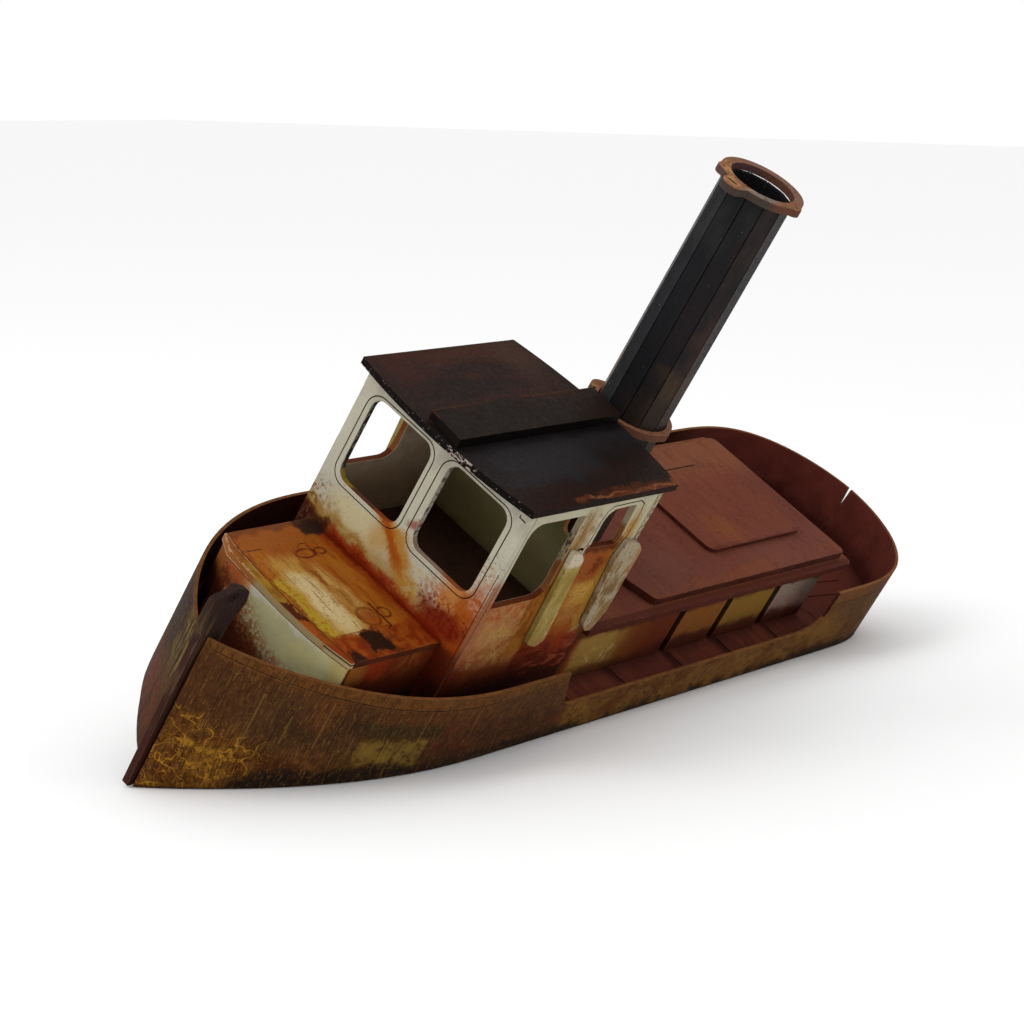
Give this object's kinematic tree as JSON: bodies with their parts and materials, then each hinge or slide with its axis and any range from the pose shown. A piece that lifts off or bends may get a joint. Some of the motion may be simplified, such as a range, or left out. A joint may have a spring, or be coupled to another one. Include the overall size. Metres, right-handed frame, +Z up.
{
  "type": "scale model of a derelict steam tug",
  "caption": "Painted tabletop model of a derelict steam tug heeled on its V bottom, with a tall funnel, open wheelhouse and low engine casing.",
  "frame": {"origin": "on the ground, under the middle of the model's bounding box", "axes": "+Z up from the ground, bow towards -Y, the side the boat heels to (port) towards +X"},
  "size_m": [0.1268, 0.3128, 0.1566],
  "materials": {
    "hull_paint": "streaked brown paint over card, matte",
    "stem_paint": "dark grey-brown paint, matte",
    "bottom_paint": "dark brown paint, matte",
    "deck_paint": "maroon-brown paint, matte",
    "house_paint": "off-white paint with painted rust, matte",
    "rust_paint": "orange rust wash, matte",
    "roof_paint": "charcoal and rust paint, satin",
    "casing_paint": "dusty red-brown paint, matte",
    "panel_paint": "ochre paint with rust, matte",
    "funnel_paint": "charcoal paint, satin",
    "ring_paint": "rust-brown paint, matte"
  },
  "bodies": {
    "root": {"hull_side_port": "hull_paint", "hull_side_starboard": "hull_paint", "stem_post": "stem_paint", "hull_bottom_port": "bottom_paint", "hull_bottom_starboard": "bottom_paint", "keel_strip": "bottom_paint", "deck": "deck_paint", "wheelhouse_floor": "deck_paint", "trunk_front": "house_paint", "wheelhouse_front": "house_paint", "wheelhouse_aft": "house_paint", "wheelhouse_side_port": "house_paint", "wheelhouse_side_starboard": "house_paint", "grab_rail_fwd_port": "house_paint", "grab_rail_aft_port": "house_paint", "grab_rail_fwd_starboard": "house_paint", "grab_rail_aft_starboard": "house_paint", "trunk_side_port": "rust_paint", "trunk_side_starboard": "rust_paint", "trunk_front_rail": "rust_paint", "trunk_top": "rust_paint", "roof_panel": "roof_paint", "roof_strip": "roof_paint", "casing_panel_port_1": "panel_paint", "casing_panel_port_2": "panel_paint", "casing_panel_port_3": "panel_paint", "casing_panel_port_4": "panel_paint", "casing_panel_starboard_1": "panel_paint", "casing_panel_starboard_2": "panel_paint", "casing_panel_starboard_3": "panel_paint", "casing_panel_starboard_4": "panel_paint", "casing_aft": "panel_paint", "casing_roof_lower": "casing_paint", "casing_roof_upper": "casing_paint", "casing_hatch": "casing_paint", "funnel_stave_01": "funnel_paint", "funnel_stave_02": "funnel_paint", "funnel_stave_03": "funnel_paint", "funnel_stave_04": "funnel_paint", "funnel_stave_05": "funnel_paint", "funnel_stave_06": "funnel_paint", "funnel_stave_07": "funnel_paint", "funnel_stave_08": "funnel_paint", "funnel_stave_09": "funnel_paint", "funnel_stave_10": "funnel_paint", "funnel_stave_11": "funnel_paint", "funnel_stave_12": "funnel_paint", "funnel_collar": "ring_paint", "funnel_ring": "ring_paint"}
  },
  "joints": []
}
